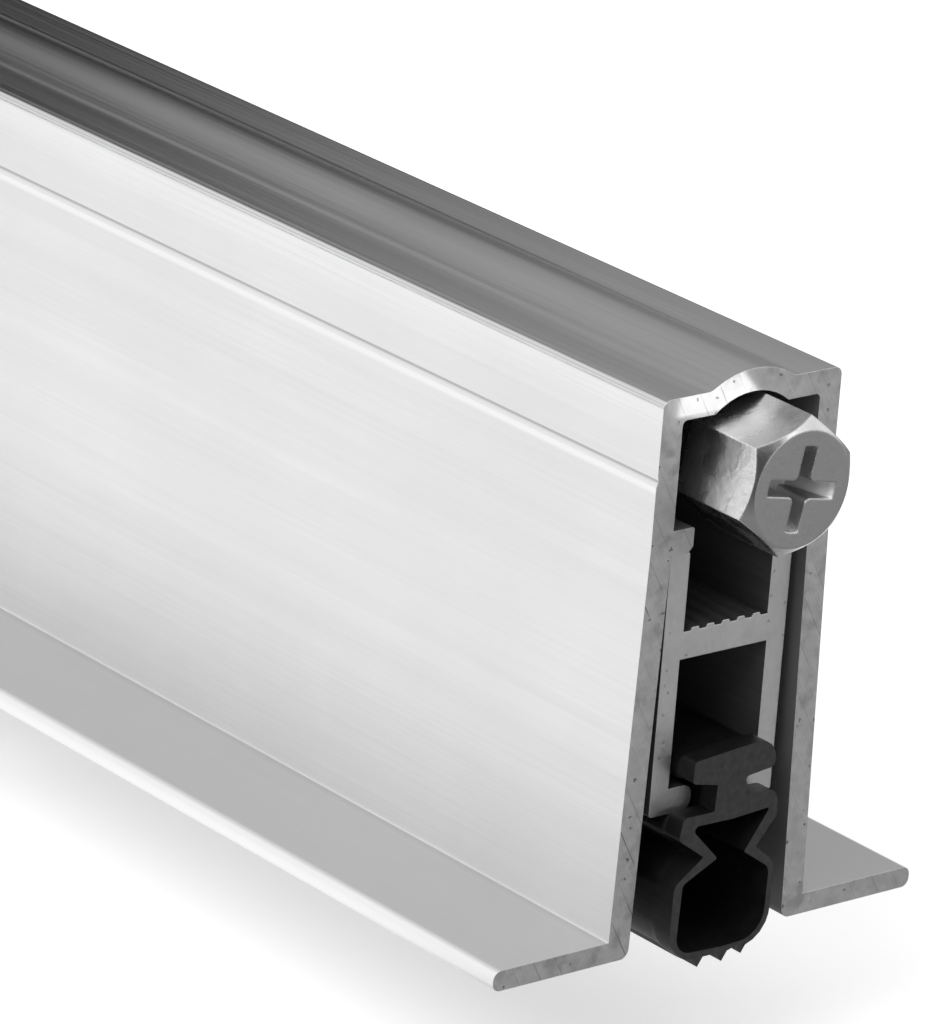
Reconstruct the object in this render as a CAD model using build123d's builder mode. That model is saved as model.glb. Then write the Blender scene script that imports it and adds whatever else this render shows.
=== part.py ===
"""Automatic door bottom seal: an extruded flanged housing, a drop bar with a hollow rubber seal,
and the plunger and bow springs that lower the bar when the door closes.

X runs along the door's bottom edge towards the plunger end, Y across the door, Z up.
The origin is at mid-length, on the centre plane, at the top of the flanges, where the door rests.
"""

from build123d import *
from math import atan2, degrees, sqrt
import os

os.makedirs("parts", exist_ok=True)

# Housing extrusion
length = 335.0
channel_width = 17.46
height = 44.45
wall = 2.05
roof = 1.85
roof_corner = 0.7
flange_width = 41.28
flange = 1.65
flange_tip = 0.7
foot_corner = 0.8
splay = 0.93

# Shallow drilling line along each outer wall
line_drop = 6.25
line_half = 0.45
line_depth = 0.18
band_recess = 0.08

# Internal ledges that stop the drop bar and carry the upper blocks
ledge_drop = 4.15
ledge = 2.0
ledge_reach = 2.05
ledge_nose = 0.45

# Adjusting screw, on the plunger axis below the roof
plunger_drop = 6.3
head_flats = 9.53
head_length = 8.0
head_proud = 6.15
face_margin = 0.38
head_bevel = 0.8
head_angle = 18.8
arch_clearance = 0.2
crown_wall = 1.8
crown_root = 1.2
screw_diameter = 4.8
screw_length = 28.0
screw_point = 0.6
recess_span = 6.7
recess_width = 1.3
recess_depth = 3.4
recess_floor = 3.0
recess_corner = 0.45

# Plunger rod and its guide in the housing
rod_diameter = 6.35
rod_length = 40.0
adjusting_room = 6.15
thread_clearance = 0.05
thread_room = 3.0
guide_gap = 1.0
guide_length = 14.0
running_clearance = 0.05

# Blocks that sit on the ledges
block_side_gap = 0.18
block_lift = 0.1
block_top_gap = 0.3
block_length = 13.0
block_edge = 0.4
cross_pin_diameter = 2.0
cross_pin_inset = 3.5
guide_pin_depth = 2.2
pin_clearance = 0.03

# Push strip that links the plunger rod to the bow springs
strip = 2.0
fork_depth = 11.0
fork_gap = 0.3
strip_clearance = 0.2
strip_pin_diameter = 2.0
strip_pin_inset = 5.5

# Bow springs, each rolled into an eye at both ends
spring_count = 2
leaf = 0.6
seat_length = 12.0
eye_pin_diameter = 2.0
eye_angle = 290.0
rod_gap = 1.2
unit_gap = 1.4
far_room = 9.2

# Shoes under the strip, and the noses of the anchor blocks between the ledges
nose_side_gap = 0.18
nose_room = 0.25
ear = 1.1
cleft_clearance = 0.15
eye_room = 0.35
shoe_length = 13.0
eye_inset = 2.2
shoe_rivet_inset = 3.5
rivet_diameter = 3.0
rivet_head = 5.0
rivet_head_height = 1.0

# Drop bar, an H-shaped extrusion
bar_height = 21.0
bar_side_gap = 0.66
bar_gap = 0.3
trough = 6.4
arm = 1.9
lower_arm = 1.75
web = 2.2
lip = 2.05
slot_width = 3.92
lip_nose = 0.85
bar_edge = 0.3
ridge_count = 5
ridge_pitch = 1.5
ridge_height = 0.25
ridge_width = 0.9
ridge_angle = 60
bar_inset = 0.8
bar_far_inset = 3.5

# Saddles that hold the middle of each bow spring on the bar's web
saddle = 1.5
saddle_side_gap = 0.12
saddle_length = 14.0
saddle_edge = 0.4

# Rubber seal strip
seal_proud = 1.72
seal_seat = 0.05
seal_side_gap = 0.22
seal_head = 2.2
seal_crown = 0.35
neck_gap = 0.51
neck_height = 2.8
shoulder_inset = 1.3
shoulder_depth = 1.3
waist_drop = 3.15
waist_outer = 2.7
waist_inner = 1.4
bulb_inset = 0.9
bulb_drop = 4.55
bulb_round = 1.5
foot_drop = 11.1
foot = 0.5
foot_round = 3.0
seal_wall = 0.83
seal_round = 0.8
seal_fine = 0.25
rib_height = 0.85
rib_width = 1.0
rib_pitch = 2.15
rib_count = 3

# Holes for the screws that fasten the flanges up into the door
flange_hole = 4.0
flange_countersink = 5.8
flange_hole_spacing = 180.0
flange_hole_inset = 5.44

# Heights and half widths that follow, from the roof down
roof_top = height - flange
plunger_height = roof_top - plunger_drop
ledge_top = plunger_height - ledge_drop
bar_top = ledge_top - ledge - bar_gap
bar_bottom = bar_top - bar_height
web_top = bar_top - trough
outer_half = channel_width / 2
inner_half = outer_half - wall
band_half = outer_half - band_recess
ledge_half = inner_half - ledge_reach
bar_half = inner_half - bar_side_gap
block_half = inner_half - block_side_gap
nose_half = ledge_half - nose_side_gap
leaf_half = nose_half - ear - cleft_clearance
splay_top = ledge_top - ledge / 2
line_height = roof_top - line_drop
block_bottom = ledge_top + block_lift
ceiling = roof_top - roof
block_top = ceiling - block_top_gap
strip_bottom = plunger_height - strip / 2
slot_top = plunger_height + strip / 2 + strip_clearance
cross_pin_height = (slot_top + block_top) / 2

# Crown and arch, round the screw's axis
head_corner = head_flats / sqrt(3)
arch_radius = head_corner + arch_clearance
crown_radius = arch_radius + crown_wall
crown_half = sqrt(crown_radius**2 - plunger_drop**2)
arch_half = sqrt(arch_radius**2 - (plunger_drop - roof) ** 2)

# Stations along X, from the plunger end of the housing inwards
head_face = length / 2 + head_proud
head_back = head_face - head_length
rod_front = head_back - adjusting_room
rod_end = rod_front - rod_length
tapped_depth = screw_length - adjusting_room + thread_room
strip_start = rod_end + fork_depth - fork_gap
strip_pin_x = rod_end + strip_pin_inset
guide_middle = rod_end + fork_depth + guide_gap + guide_length / 2

# Spring units that share the room between the rod and the far end
eye_reach = shoe_length - eye_inset
units_start = rod_end - rod_gap
units_end = far_room - length / 2
unit_pitch = (units_start - units_end + unit_gap) / spring_count
unit_length = unit_pitch - unit_gap
half_span = unit_length / 2 - eye_reach
spring_middles = [units_start - unit_length / 2 - n * unit_pitch for n in range(spring_count)]
strip_end = spring_middles[-1] + half_span - eye_inset

# Eyes and leaves of the bow springs: a leg leaves the seat level and runs tangent under the roll
eye_height = ledge_top
eye_radius = eye_pin_diameter / 2 + running_clearance + leaf / 2
eye_outer = eye_radius + leaf / 2
nose_bottom = eye_height - eye_outer - nose_room
cleft_top = eye_height + eye_outer + eye_room
cleft_length = eye_inset + eye_outer + eye_room
cleft_width = 2 * (leaf_half + cleft_clearance)
saddle_bottom = web_top + ridge_height
leaf_height = saddle_bottom + saddle + leaf / 2
leg_run = half_span - seat_length / 2
leg_rise = eye_height - leaf_height
leg_radius = (leg_run**2 + leg_rise**2 - eye_radius**2) / (2 * (leg_rise - eye_radius))
leg_angle = degrees(atan2(leg_run, leg_radius - leg_rise))

# Holes, each with its pin's or rivet's clearance
cross_hole = cross_pin_diameter / 2 + pin_clearance
eye_hole = eye_pin_diameter / 2 + pin_clearance
strip_hole = strip_pin_diameter / 2 + pin_clearance
rivet_hole = rivet_diameter / 2 + pin_clearance

# Alignment of a turned solid that stands on its plane, or hangs below it
upward = (Align.CENTER, Align.CENTER, Align.MIN)
downward = (Align.CENTER, Align.CENTER, Align.MAX)


def half_outline(corners):
    """One half of a section, through corners given as (y, z, radius), from centre to centre."""
    points = [(y, z) for y, z, radius in corners]
    return FilletPolyline(points, radius=[radius for y, z, radius in corners[1:-1]])


def splayed(y, z):
    """A leg's y at height z: below the ledges the legs lean outwards."""
    return y + splay * (splay_top - z) / (splay_top + flange)


def across(x, z):
    """A plane whose normal runs across the door, through this point of the centre plane."""
    return Plane(origin=(x, 0, z), x_dir=(1, 0, 0), z_dir=(0, 1, 0))


def lengthwise(x, z=plunger_height):
    """A plane whose normal runs along the door, through this point of the centre plane."""
    return Plane(origin=(x, 0, z), x_dir=(0, 1, 0), z_dir=(1, 0, 0))


# Housing: a roof crowned over the screw, two walls, two ledges and two flanges
housing_corners = [
    (crown_half, roof_top, 0),
    (band_half, roof_top, roof_corner),
    (band_half, line_height + line_half, 0),
    (outer_half - line_depth, line_height, 0),
    (outer_half, line_height - line_half, 0),
    (outer_half, splay_top, 0),
    (splayed(outer_half, 0), 0, 0),
    (flange_width / 2, 0, flange_tip),
    (flange_width / 2, -flange, flange_tip),
    (splayed(inner_half, -flange), -flange, foot_corner),
    (splayed(inner_half, ledge_top - ledge), ledge_top - ledge, 0),
    (ledge_half + ledge_nose, ledge_top - ledge, 0),
    (ledge_half, ledge_top - ledge + ledge_nose, ledge_nose / 2),
    (ledge_half, ledge_top, ledge_nose / 2),
    (inner_half, ledge_top, 0),
    (inner_half, ceiling, ledge_nose),
    (arch_half, ceiling, 0),
]
with BuildPart() as housing:
    with BuildSketch(Plane.YZ.offset(-length / 2)) as housing_section:
        with BuildLine():
            half = half_outline(housing_corners)
            mirror(half, about=Plane.YZ)
            crown_peak = (0, plunger_height + crown_radius)
            ThreePointArc((-crown_half, roof_top), crown_peak, (crown_half, roof_top))
            arch_peak = (0, plunger_height + arch_radius)
            ThreePointArc((-arch_half, ceiling), arch_peak, (arch_half, ceiling))
        make_face()
        at_roof = housing_section.vertices().group_by(Axis.Y)[-1]
        fillet(at_roof.sort_by(Axis.X)[1:-1], radius=crown_root)
    extrude(amount=length)
    # Countersunk holes for the screws up into the door
    with Locations(Plane(origin=(0, 0, -flange), x_dir=(1, 0, 0), z_dir=(0, 0, -1))):
        with GridLocations(flange_hole_spacing, flange_width - 2 * flange_hole_inset, 2, 2):
            CounterSinkHole(flange_hole / 2, flange_countersink / 2, depth=flange)
    # Cross holes for the anchor pins, and one hole in the far wall for the guide's pin
    pin_stations = [middle - unit_length / 2 + cross_pin_inset for middle in spring_middles]
    with Locations(*[across(x, cross_pin_height) for x in pin_stations]):
        Cylinder(cross_hole, 2 * channel_width, mode=Mode.SUBTRACT)
    with Locations(across(guide_middle, cross_pin_height)):
        Cylinder(cross_hole, channel_width, align=upward, mode=Mode.SUBTRACT)
housing.part.label = "housing"
export_step(housing.part, "parts/housing.step")

# Drop bar: ridged web, two arms, and lips that hold the seal's head
bar_corners = [
    (0, web_top, 0),
    (bar_half - arm, web_top, 0),
    (bar_half - arm, bar_top, bar_edge),
    (bar_half, bar_top, bar_edge),
    (bar_half, bar_bottom, bar_edge),
    (slot_width / 2, bar_bottom, lip_nose),
    (slot_width / 2, bar_bottom + lip, lip_nose),
    (bar_half - lower_arm, bar_bottom + lip, 0),
    (bar_half - lower_arm, web_top - web, 0),
    (0, web_top - web, 0),
]
with BuildPart() as drop_bar:
    with BuildSketch(Plane.YZ.offset(-length / 2 + bar_far_inset)):
        with BuildLine():
            half = half_outline(bar_corners)
            mirror(half, about=Plane.YZ)
        make_face()
        with Locations((0, web_top)):
            with GridLocations(ridge_pitch, 0, ridge_count, 1):
                Trapezoid(ridge_width, ridge_height, ridge_angle, align=(Align.CENTER, Align.MIN))
    extrude(amount=length - bar_inset - bar_far_inset)
    with Locations(*[(x, 0, web_top) for x in spring_middles]):
        Cylinder(rivet_hole, 3 * web, mode=Mode.SUBTRACT)
drop_bar.part.label = "drop_bar"
export_step(drop_bar.part, "parts/drop_bar.step")

# Seal: head in the bar's slot, neck, and a waisted hollow bulb with ribs under its foot
shoulder_top = bar_bottom - seal_seat
shoulder_half = bar_half - shoulder_inset
head_bottom = shoulder_top + neck_height
head_top = head_bottom + seal_head
head_half = bar_half - lower_arm - seal_side_gap
neck_half = slot_width / 2 - neck_gap
waist_height = shoulder_top - waist_drop
bulb_top = shoulder_top - bulb_drop
bulb_half = bar_half - bulb_inset
foot_height = shoulder_top - foot_drop
seal_corners = [
    (0, head_top, 0),
    (head_half, head_top - seal_crown, seal_round),
    (head_half, head_bottom, seal_round),
    (neck_half, head_bottom, 0),
    (neck_half, shoulder_top, 0),
    (shoulder_half, shoulder_top, seal_round),
    (shoulder_half, shoulder_top - shoulder_depth, seal_round),
    (waist_outer, waist_height, seal_fine / 2),
    (bulb_half, bulb_top, bulb_round),
    (bulb_half, foot_height, foot_round),
    (0, foot_height, 0),
]
chamber_half = bulb_half - seal_wall
chamber_corners = [
    (0, shoulder_top - seal_wall, 0),
    (shoulder_half - seal_wall, shoulder_top - seal_wall, seal_fine),
    (waist_inner, waist_height, seal_fine),
    (chamber_half, bulb_top - seal_wall / 2, bulb_round - seal_wall / 2),
    (chamber_half, foot_height + foot, foot_round - seal_wall),
    (0, foot_height + foot, 0),
]
with BuildPart() as seal_strip:
    with BuildSketch(Plane.YZ.offset(-length / 2 + bar_far_inset)):
        with BuildLine():
            half = half_outline(seal_corners)
            mirror(half, about=Plane.YZ)
        make_face()
        with BuildLine():
            half = half_outline(chamber_corners)
            mirror(half, about=Plane.YZ)
        make_face(mode=Mode.SUBTRACT)
        with Locations((0, foot_height)):
            with GridLocations(rib_pitch, 0, rib_count, 1):
                Polygon((-rib_width / 2, 0), (0, -rib_height), (rib_width / 2, 0), align=None)
    extrude(amount=length + seal_proud - bar_far_inset)
seal_strip.part.label = "seal_strip"
export_step(seal_strip.part, "parts/seal_strip.step")

# Cross-shaped driver recess, narrowing with depth
with BuildPart() as recess:
    with BuildSketch(lengthwise(head_face)) as cross:
        Rectangle(recess_span, recess_width, rotation=head_angle + 60)
        Rectangle(recess_width, recess_span, rotation=head_angle + 60)
        fillet(cross.vertices().sort_by_distance((0, 0))[:4], radius=recess_corner)
    extrude(amount=-recess_depth)
    with Locations(lengthwise(head_face)):
        Cone(recess_floor / 2, recess_span / 2, recess_depth, align=downward, mode=Mode.INTERSECT)

# Adjusting screw: hexagon head turned down at its face, on a shank screwed into the rod
with BuildPart() as adjusting_screw:
    with BuildSketch(lengthwise(head_back)):
        RegularPolygon(radius=head_corner, side_count=6, rotation=head_angle)
    extrude(amount=head_length)
    with BuildSketch(Plane.XZ):
        with Locations((head_back, plunger_height)):
            Polygon(
                (0, 0),
                (0, head_corner),
                (head_length - head_bevel, head_corner),
                (head_length, (head_flats - face_margin) / 2),
                (head_length, 0),
                align=None,
            )
    revolve(axis=Axis((0, 0, plunger_height), (1, 0, 0)), mode=Mode.INTERSECT)
    add(recess.part, mode=Mode.SUBTRACT)
    with BuildSketch(lengthwise(head_back)):
        Circle(screw_diameter / 2)
    extrude(amount=-screw_length)
    chamfer(adjusting_screw.faces().sort_by(Axis.X)[0].edges(), length=screw_point)
adjusting_screw.part.label = "adjusting_screw"
export_step(adjusting_screw.part, "parts/adjusting_screw.step")

# Plunger rod: tapped for the screw, and forked at its inner end for the push strip
with BuildPart() as plunger_rod:
    with BuildSketch(lengthwise(rod_end)):
        Circle(rod_diameter / 2)
    extrude(amount=rod_length)
    with BuildSketch(lengthwise(rod_front)):
        Circle(screw_diameter / 2 + thread_clearance)
    extrude(amount=-tapped_depth, mode=Mode.SUBTRACT)
    with BuildSketch(lengthwise(rod_end)):
        Rectangle(2 * rod_diameter, strip + 2 * running_clearance)
    extrude(amount=fork_depth, mode=Mode.SUBTRACT)
    with Locations((strip_pin_x, 0, plunger_height)):
        Cylinder(strip_hole, 2 * rod_diameter, mode=Mode.SUBTRACT)
plunger_rod.part.label = "plunger_rod"
export_step(plunger_rod.part, "parts/plunger_rod.step")

# Push strip, pinned in the rod's fork and riveted to both shoes
with BuildPart() as push_strip:
    with BuildSketch(Plane.XY.offset(strip_bottom)):
        with Locations(((strip_start + strip_end) / 2, 0)):
            Rectangle(strip_start - strip_end, 2 * nose_half)
    extrude(amount=strip)
    chamfer(push_strip.edges().filter_by(Axis.Z), length=block_edge)
    with Locations((strip_pin_x, 0, plunger_height)):
        Cylinder(strip_hole, 2 * strip, mode=Mode.SUBTRACT)
    with Locations(*[(x + unit_length / 2 - shoe_rivet_inset, 0, plunger_height) for x in spring_middles]):
        Cylinder(rivet_hole, 2 * strip, mode=Mode.SUBTRACT)
push_strip.part.label = "push_strip"
export_step(push_strip.part, "parts/push_strip.step")

with BuildPart() as strip_pin:
    with Locations((strip_pin_x, 0, plunger_height)):
        Cylinder(strip_pin_diameter / 2, rod_diameter)
strip_pin.part.label = "strip_pin"
export_step(strip_pin.part, "parts/strip_pin.step")

# Guide: a block on the ledges, bored for the rod
with BuildPart() as plunger_guide:
    with BuildSketch(Plane.XY.offset(block_bottom)):
        with Locations((guide_middle, 0)):
            Rectangle(guide_length, 2 * block_half)
    extrude(amount=block_top - block_bottom)
    chamfer(plunger_guide.edges().filter_by(Axis.X).group_by(Axis.Z)[-1], length=block_edge)
    with Locations(lengthwise(guide_middle)):
        Cylinder(rod_diameter / 2 + running_clearance, 2 * guide_length, mode=Mode.SUBTRACT)
    with Locations(across(guide_middle, cross_pin_height).offset(block_half - guide_pin_depth)):
        Cylinder(cross_hole, block_half, align=upward, mode=Mode.SUBTRACT)
plunger_guide.part.label = "plunger_guide"
export_step(plunger_guide.part, "parts/plunger_guide.step")

with BuildPart() as guide_pin:
    with Locations(across(guide_middle, cross_pin_height).offset(block_half - guide_pin_depth)):
        Cylinder(cross_pin_diameter / 2, band_half - block_half + guide_pin_depth, align=upward)
guide_pin.part.label = "guide_pin"
export_step(guide_pin.part, "parts/guide_pin.step")

# One bow spring unit for each middle: anchor, shoe, leaf, saddle, and what fastens them
for number, middle in enumerate(spring_middles, start=1):
    anchor_eye = middle - half_span
    anchor_front = anchor_eye + eye_inset
    cross_pin_x = middle - unit_length / 2 + cross_pin_inset
    shoe_eye = middle + half_span
    shoe_front = shoe_eye - eye_inset
    rivet_x = middle + unit_length / 2 - shoe_rivet_inset

    # Anchor block: wide body on the ledges, nose between them, slot for the passing strip
    with BuildPart() as anchor_block:
        with BuildSketch(lengthwise(anchor_front, 0)):
            with Locations((0, block_bottom)):
                Rectangle(2 * block_half, block_top - block_bottom, align=(Align.CENTER, Align.MIN))
                Rectangle(2 * nose_half, block_bottom - nose_bottom, align=(Align.CENTER, Align.MAX))
            with Locations((0, plunger_height)):
                slot_size = (2 * nose_half + 2 * strip_clearance, strip + 2 * strip_clearance)
                Rectangle(*slot_size, mode=Mode.SUBTRACT)
        extrude(amount=-block_length)
        chamfer(anchor_block.edges().filter_by(Axis.X).group_by(Axis.Z)[-1], length=block_edge)
        with Locations((anchor_front, 0, cleft_top)):
            back_down = (Align.MAX, Align.CENTER, Align.MAX)
            Box(cleft_length, cleft_width, block_length, align=back_down, mode=Mode.SUBTRACT)
        with Locations(across(anchor_eye, eye_height)):
            Cylinder(eye_hole, channel_width, mode=Mode.SUBTRACT)
        with Locations(across(cross_pin_x, cross_pin_height)):
            Cylinder(cross_hole, channel_width, mode=Mode.SUBTRACT)
    anchor_block.part.label = f"anchor_block_{number}"
    export_step(anchor_block.part, f"parts/anchor_block_{number}.step")

    with BuildPart() as anchor_pin:
        with Locations(across(cross_pin_x, cross_pin_height)):
            Cylinder(cross_pin_diameter / 2, 2 * band_half)
    anchor_pin.part.label = f"anchor_pin_{number}"
    export_step(anchor_pin.part, f"parts/anchor_pin_{number}.step")

    # Shoe: hangs from the strip and slides between the ledges
    with BuildPart() as shoe:
        with BuildSketch(Plane.XY.offset(nose_bottom)):
            with Locations((shoe_front + shoe_length / 2, 0)):
                Rectangle(shoe_length, 2 * nose_half)
        extrude(amount=strip_bottom - nose_bottom)
        chamfer(shoe.edges().filter_by(Axis.Z), length=block_edge)
        with Locations((shoe_front, 0, cleft_top)):
            forward_down = (Align.MIN, Align.CENTER, Align.MAX)
            Box(cleft_length, cleft_width, shoe_length, align=forward_down, mode=Mode.SUBTRACT)
        with Locations(across(shoe_eye, eye_height)):
            Cylinder(eye_hole, channel_width, mode=Mode.SUBTRACT)
        with Locations((rivet_x, 0, plunger_height)):
            Cylinder(rivet_hole, height, mode=Mode.SUBTRACT)
    shoe.part.label = f"shoe_{number}"
    export_step(shoe.part, f"parts/shoe_{number}.step")

    # Rivet through the strip and the shoe, with its head on the strip
    with BuildPart() as shoe_rivet:
        with Locations((rivet_x, 0, strip_bottom + strip)):
            Cylinder(rivet_diameter / 2, strip_bottom + strip - nose_bottom, align=downward)
            Cylinder(rivet_head / 2, rivet_head_height, align=upward)
    shoe_rivet.part.label = f"shoe_rivet_{number}"
    export_step(shoe_rivet.part, f"parts/shoe_rivet_{number}.step")

    for side, eye in (("anchor", anchor_eye), ("shoe", shoe_eye)):
        with BuildPart() as eye_pin:
            with Locations(across(eye, eye_height)):
                Cylinder(eye_pin_diameter / 2, 2 * nose_half)
        eye_pin.part.label = f"{side}_eye_pin_{number}"
        export_step(eye_pin.part, f"parts/{side}_eye_pin_{number}.step")

    # Leaf: flat seat at the middle, two bowed legs, and an eye rolled round each pin
    with BuildPart() as bow_spring:
        with BuildSketch(Plane(origin=(middle, 0, 0), x_dir=(1, 0, 0), z_dir=(0, -1, 0))):
            with BuildLine() as leaf_line:
                seat = Line((0, leaf_height), (seat_length / 2, leaf_height))
                leg = JernArc(seat @ 1, seat % 1, leg_radius, leg_angle)
                JernArc(leg @ 1, leg % 1, eye_radius, eye_angle)
                mirror(leaf_line.edges(), about=Plane.YZ)
            trace(line_width=leaf)
        extrude(amount=leaf_half, both=True)
        with Locations((middle, 0, leaf_height)):
            Cylinder(rivet_hole, saddle, mode=Mode.SUBTRACT)
    bow_spring.part.label = f"bow_spring_{number}"
    export_step(bow_spring.part, f"parts/bow_spring_{number}.step")

    with BuildPart() as spring_saddle:
        with BuildSketch(Plane.XY.offset(saddle_bottom)):
            with Locations((middle, 0)):
                Rectangle(saddle_length, 2 * (bar_half - arm - saddle_side_gap))
        extrude(amount=saddle)
        chamfer(spring_saddle.edges().filter_by(Axis.Z), length=saddle_edge)
        with Locations((middle, 0, saddle_bottom)):
            Cylinder(rivet_hole, 3 * saddle, mode=Mode.SUBTRACT)
    spring_saddle.part.label = f"spring_saddle_{number}"
    export_step(spring_saddle.part, f"parts/spring_saddle_{number}.step")

    # Rivet through leaf, saddle and web, with a head at both ends
    leaf_top = leaf_height + leaf / 2
    with BuildPart() as saddle_rivet:
        with Locations((middle, 0, web_top - web)):
            Cylinder(rivet_diameter / 2, leaf_top - web_top + web, align=upward)
            Cylinder(rivet_head / 2, rivet_head_height, align=downward)
        with Locations((middle, 0, leaf_top)):
            Cylinder(rivet_head / 2, rivet_head_height, align=upward)
    saddle_rivet.part.label = f"saddle_rivet_{number}"
    export_step(saddle_rivet.part, f"parts/saddle_rivet_{number}.step")
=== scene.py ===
"""Looks of the automatic door bottom seal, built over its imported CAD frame."""

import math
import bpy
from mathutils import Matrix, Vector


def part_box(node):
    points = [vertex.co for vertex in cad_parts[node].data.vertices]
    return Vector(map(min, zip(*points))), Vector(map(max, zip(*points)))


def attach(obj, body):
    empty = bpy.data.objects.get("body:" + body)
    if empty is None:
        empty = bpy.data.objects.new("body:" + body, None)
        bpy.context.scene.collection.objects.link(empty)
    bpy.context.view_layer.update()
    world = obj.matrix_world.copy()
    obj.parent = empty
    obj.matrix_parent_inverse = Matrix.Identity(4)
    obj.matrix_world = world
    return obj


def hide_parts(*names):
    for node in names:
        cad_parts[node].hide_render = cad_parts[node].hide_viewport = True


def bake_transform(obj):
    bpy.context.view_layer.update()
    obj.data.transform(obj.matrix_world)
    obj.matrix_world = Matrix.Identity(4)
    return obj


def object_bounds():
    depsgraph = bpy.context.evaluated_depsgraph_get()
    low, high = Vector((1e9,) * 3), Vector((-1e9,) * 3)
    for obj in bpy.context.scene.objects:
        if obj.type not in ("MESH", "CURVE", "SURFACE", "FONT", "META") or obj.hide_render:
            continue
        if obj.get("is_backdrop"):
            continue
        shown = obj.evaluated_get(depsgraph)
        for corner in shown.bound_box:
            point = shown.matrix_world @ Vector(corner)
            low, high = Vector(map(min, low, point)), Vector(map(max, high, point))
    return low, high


bl_info = {
    "name": "Automatic Door Bottom Seal",
    "version": (1, 0, 0),
    "blender": (4, 5, 0),
    "location": "View3D > Sidebar > Door Seal",
    "description": "Metal, rubber and spring finishes for a flanged drop seal, with its studio stage",
    "category": "Object",
}

from functools import reduce

import bmesh
import bpy
from bpy.props import FloatProperty, FloatVectorProperty, IntProperty, PointerProperty
from bpy.types import NodeSocket, Operator, Panel, PropertyGroup
from mathutils import Euler, Vector

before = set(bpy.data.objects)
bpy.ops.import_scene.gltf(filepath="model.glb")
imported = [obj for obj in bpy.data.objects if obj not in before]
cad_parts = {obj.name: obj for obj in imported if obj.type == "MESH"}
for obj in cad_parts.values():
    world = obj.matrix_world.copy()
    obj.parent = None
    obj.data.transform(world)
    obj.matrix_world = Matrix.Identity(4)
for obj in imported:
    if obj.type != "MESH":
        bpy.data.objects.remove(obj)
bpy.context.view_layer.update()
MM = 0.001
WHITE = (1, 1, 1)

# Heights in the housing's section, above the flanges' tops
LEG_FOOT, LEG_TOP = 3 * MM, 20 * MM
WALL_TOP, SHOULDER, CEILING, ROOF, CROWN = 38 * MM, 39 * MM, 41 * MM, 42 * MM, 42.5 * MM


# Sizes and colours that a user would change


def colour_of(name, description, *default):
    """A colour of three parts."""
    return FloatVectorProperty(
        name=name, description=description, subtype="COLOR", size=3, min=0, max=1, default=default
    )


def length_of(name, description, millimetres):
    """A length, given in millimetres."""
    return FloatProperty(name=name, description=description, unit="LENGTH", default=millimetres * MM)


def share_of(name, description, default):
    """A number from nought to one."""
    return FloatProperty(name=name, description=description, subtype="FACTOR", min=0, max=1, default=default)


class AluminiumFinish(PropertyGroup):
    """Mill-finish extrusions: drawn surfaces and their saw-cut ends."""

    colour: colour_of("Drawn colour", "Colour of the drawn aluminium surface", 0.91, 0.91, 0.915)
    roughness: share_of("Drawn roughness", "Roughness of the roof between its streaks", 0.15)
    wall_roughness: share_of("Wall roughness", "Roughness of the walls and flanges", 0.34)
    streak_pitch: length_of("Streak pitch", "Distance between drawing streaks", 0.35)
    band_pitch: length_of("Roof band pitch", "Distance between soft bands on the roof", 1.1)
    streak_depth: length_of("Streak depth", "Height of the drawing streaks", 0.014)
    cut_colour: colour_of("Cut colour", "Colour of the sawn end faces", 0.88, 0.88, 0.885)
    saw_pitch: length_of("Saw line pitch", "Distance between saw lines on a cut end", 2.1)
    edge_radius: length_of("Edge radius", "Radius of the broken edges round a cut end", 0.07)
    # A darker colour for the flanges than for the walls
    flange_colour: colour_of("Flange colour", "Colour of the flanges, dulled by handling", 0.61, 0.61, 0.615)
    flange_from: length_of("Flange starts", "Distance of the flange's foot from the centre plane", 9.7)
    # The groove gets painted shade in it and a painted highlight in a band below it
    line_height: length_of("Line height", "Height of the grimy groove along each wall", 36.55)
    # Dark colour of the painted shade inside the channel, on the bar's flanks and in the wall's groove
    painted_shade_colour: colour_of("Inside colour", "Colour of the stained channel inside", 0.13, 0.13, 0.133)


class SteelFinish(PropertyGroup):
    """Zinc-plated screw and hardware, blued springs and nylon blocks."""

    zinc: colour_of("Zinc colour", "Colour of the plating on the adjusting screw", 0.9, 0.9, 0.905)
    zinc_roughness: share_of("Zinc roughness", "Roughness of the plated screw head", 0.26)
    head_radius: length_of("Head edge radius", "Radius of the screw head's edges", 0.22)
    hardware: colour_of("Hardware colour", "Colour of the rod, strip, pins and rivets", 0.56, 0.56, 0.57)
    spring: colour_of("Spring colour", "Colour of the blued spring leaves", 0.16, 0.18, 0.22)
    nylon: colour_of("Nylon colour", "Colour of the guide and anchor blocks", 0.8, 0.79, 0.74)


class SealShape(PropertyGroup):
    """Rubber seal: its colours, and its relaxed end in front of the bar's lips."""

    colour: colour_of("Rubber colour", "Colour of the seal's skin", 0.006, 0.006, 0.006)
    cut_colour: colour_of("Cut colour", "Colour of the seal's cut end", 0.047, 0.047, 0.047)
    relaxed_length: length_of("Relaxed length", "Length over which the free end swells", 0.9)
    arc_steps: IntProperty(
        name="Steps in a corner", description="Segments in each rounded corner", min=2, max=16, default=6
    )


class SpringShape(PropertyGroup):
    """Bow springs: bent leaves with a flat seat and a rolled eye at each end."""

    thickness: length_of("Leaf thickness", "Thickness of the spring steel", 0.6)
    seat: length_of("Seat length", "Length of the flat part on the saddle", 12)
    eye_play: length_of("Eye play", "Gap between an eye and its pin", 0.05)
    eye_angle: FloatProperty(
        name="Eye angle", description="How far an eye is rolled", subtype="ANGLE", default=math.radians(290)
    )
    tail: length_of("Eye tail", "Length of leaf that stays with the moving eye", 7)


class RivetShape(PropertyGroup):
    """Domed rivet heads."""

    head: length_of("Head diameter", "Diameter of a rivet head", 5)
    shank: length_of("Shank diameter", "Diameter of a rivet shank", 3)
    rise: length_of("Head height", "Height of a domed head", 1)
    steps: IntProperty(name="Steps round", description="Segments round a rivet", min=12, max=96, default=40)


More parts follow.
